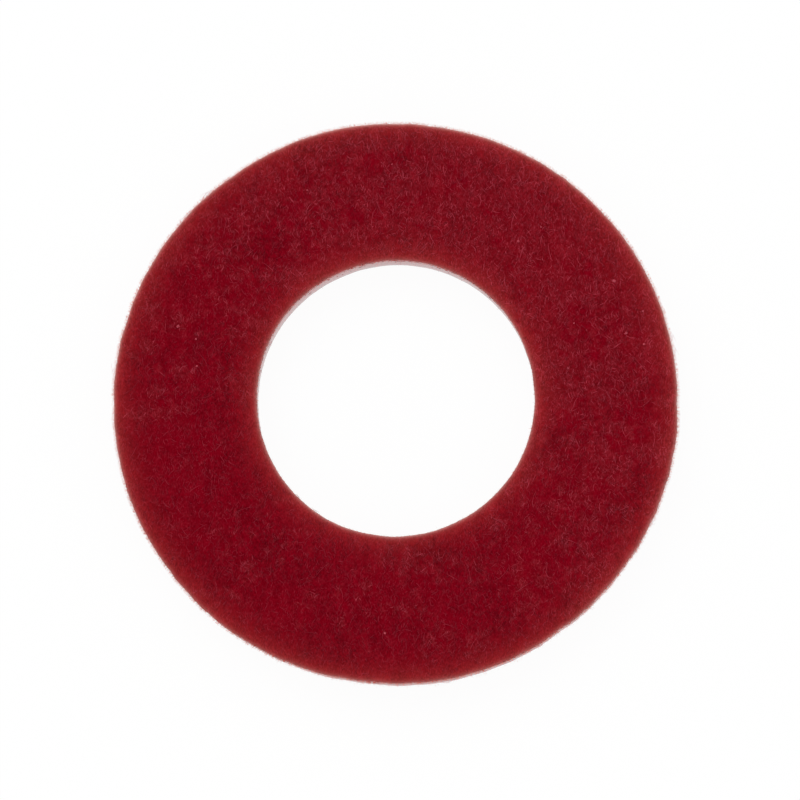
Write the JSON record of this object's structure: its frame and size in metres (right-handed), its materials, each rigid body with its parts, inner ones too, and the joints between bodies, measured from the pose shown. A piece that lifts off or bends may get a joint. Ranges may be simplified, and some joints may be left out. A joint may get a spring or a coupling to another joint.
{
  "type": "fibre washer",
  "caption": "Flat red fibre washer: a punched ring with a round bore, rolled upper edges and a matte, napped face.",
  "frame": {"origin": "on the bore axis, in the plane of the underside that the washer lies on", "axes": "+Z along the bore axis, from the underside up to the face with the rolled edges; the outer rim stands off centre towards -Y"},
  "size_m": [0.017, 0.017, 0.0015],
  "materials": {
    "red_fibre": "matte"
  },
  "bodies": {
    "root": {"fibre_washer": "red_fibre"}
  },
  "joints": []
}
